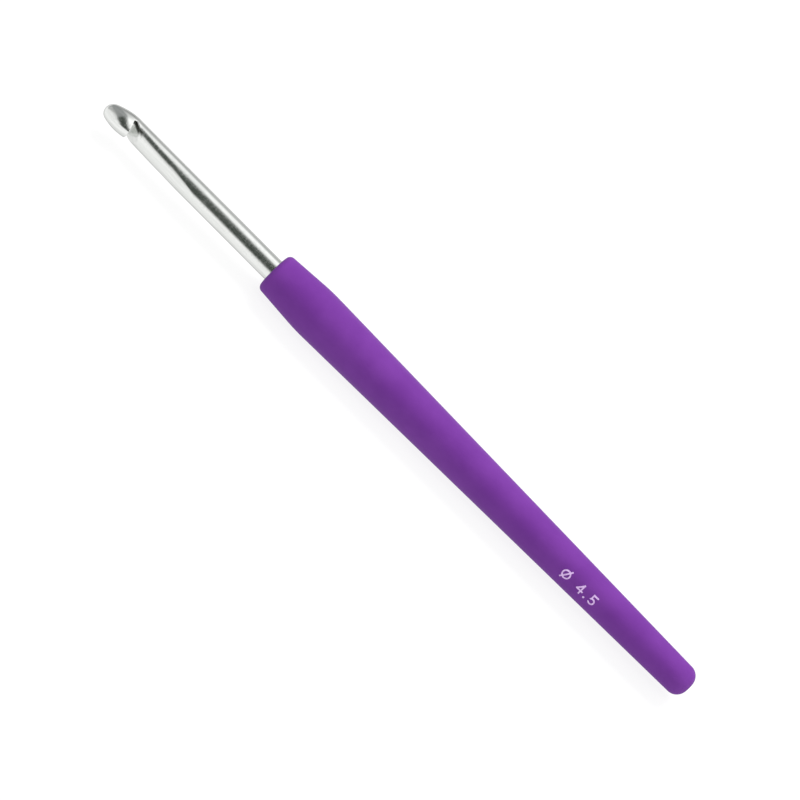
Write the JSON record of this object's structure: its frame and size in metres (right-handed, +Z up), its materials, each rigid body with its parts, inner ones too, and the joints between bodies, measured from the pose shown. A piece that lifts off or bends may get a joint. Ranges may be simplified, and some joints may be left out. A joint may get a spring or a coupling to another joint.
{
  "type": "crochet hook",
  "caption": "Crochet hook with a bullet head, an angled throat, a round metal shaft and a long moulded handle that swells near its front and tapers to a rounded tail.",
  "frame": {"origin": "middle of the tool's length, under its axis, at the height of the handle's widest point", "axes": "+X along the tool from the hook to the tail, -Y the way the throat opens, +Z up with the tool lying down"},
  "size_m": [0.15, 0.0098, 0.0097],
  "materials": {
    "shaft_metal": "polished and anodised, with fine lengthwise drawing lines",
    "core_plastic": "as moulded",
    "grip_plastic": "soft-touch purple, matte",
    "mark_ink": "pad-printed pale ink"
  },
  "bodies": {
    "root": {"hook_shaft": "shaft_metal", "handle_core": "core_plastic", "grip_sleeve": "grip_plastic", "size_mark": "mark_ink"}
  },
  "joints": []
}
